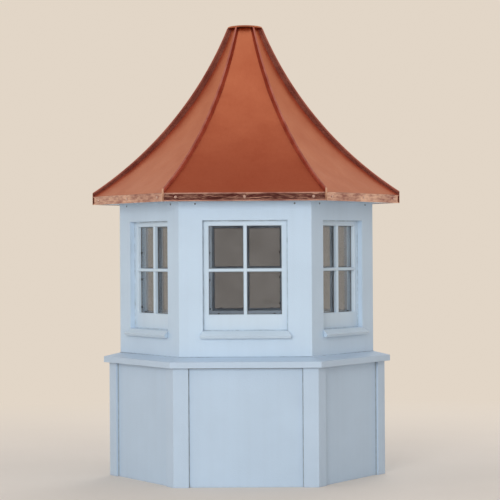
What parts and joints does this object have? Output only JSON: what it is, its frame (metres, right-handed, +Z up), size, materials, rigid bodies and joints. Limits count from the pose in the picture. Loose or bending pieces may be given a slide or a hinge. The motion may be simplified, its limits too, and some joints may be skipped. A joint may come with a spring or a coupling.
{
  "type": "cupola",
  "caption": "Hexagonal roof cupola with a panelled base, windows on every side and a flared copper roof with standing seams.",
  "frame": {"origin": "centre of the base's underside, which is the lowest plane", "axes": "+Z up along the axis through the roof's peak; -Y out of the front face; +X to the right seen from the front, through a corner"},
  "size_m": [1.021, 0.8874, 1.4909],
  "materials": {
    "wall_paint": "satin white cellular board",
    "trim_paint": "satin white cellular board",
    "sash_paint": "semi-gloss white sash",
    "tinted_glass": "grey-bronze tinted sheet",
    "copper_sheet": "satin rolled copper",
    "copper_edge": "folded copper, darker and shinier",
    "deck_board": "bent plywood",
    "rafter_timber": "sawn softwood"
  },
  "bodies": {
    "root": {"base_corner_1": "trim_paint", "base_corner_2": "trim_paint", "base_corner_3": "trim_paint", "base_corner_4": "trim_paint", "base_corner_5": "trim_paint", "base_corner_6": "trim_paint", "base_panel_1": "wall_paint", "base_panel_2": "wall_paint", "base_panel_3": "wall_paint", "base_panel_4": "wall_paint", "base_panel_5": "wall_paint", "base_panel_6": "wall_paint", "base_rail": "trim_paint", "eave_fascia": "copper_edge", "eave_plate": "trim_paint", "hip_rafters": "rafter_timber", "hip_seams": "copper_edge", "peak_block": "rafter_timber", "roof_cap": "copper_sheet", "roof_deck": "deck_board", "roof_panel_1": "copper_sheet", "roof_panel_2": "copper_sheet", "roof_panel_3": "copper_sheet", "roof_panel_4": "copper_sheet", "roof_panel_5": "copper_sheet", "roof_panel_6": "copper_sheet", "wall_1": "wall_paint", "wall_2": "wall_paint", "wall_3": "wall_paint", "wall_4": "wall_paint", "wall_5": "wall_paint", "wall_6": "wall_paint", "window_glass": "tinted_glass", "window_sash_1": "sash_paint", "window_sash_2": "sash_paint", "window_sash_3": "sash_paint", "window_sash_4": "sash_paint", "window_sash_5": "sash_paint", "window_sash_6": "sash_paint", "window_sill_1": "trim_paint", "window_sill_2": "trim_paint", "window_sill_3": "trim_paint", "window_sill_4": "trim_paint", "window_sill_5": "trim_paint", "window_sill_6": "trim_paint"}
  },
  "joints": []
}
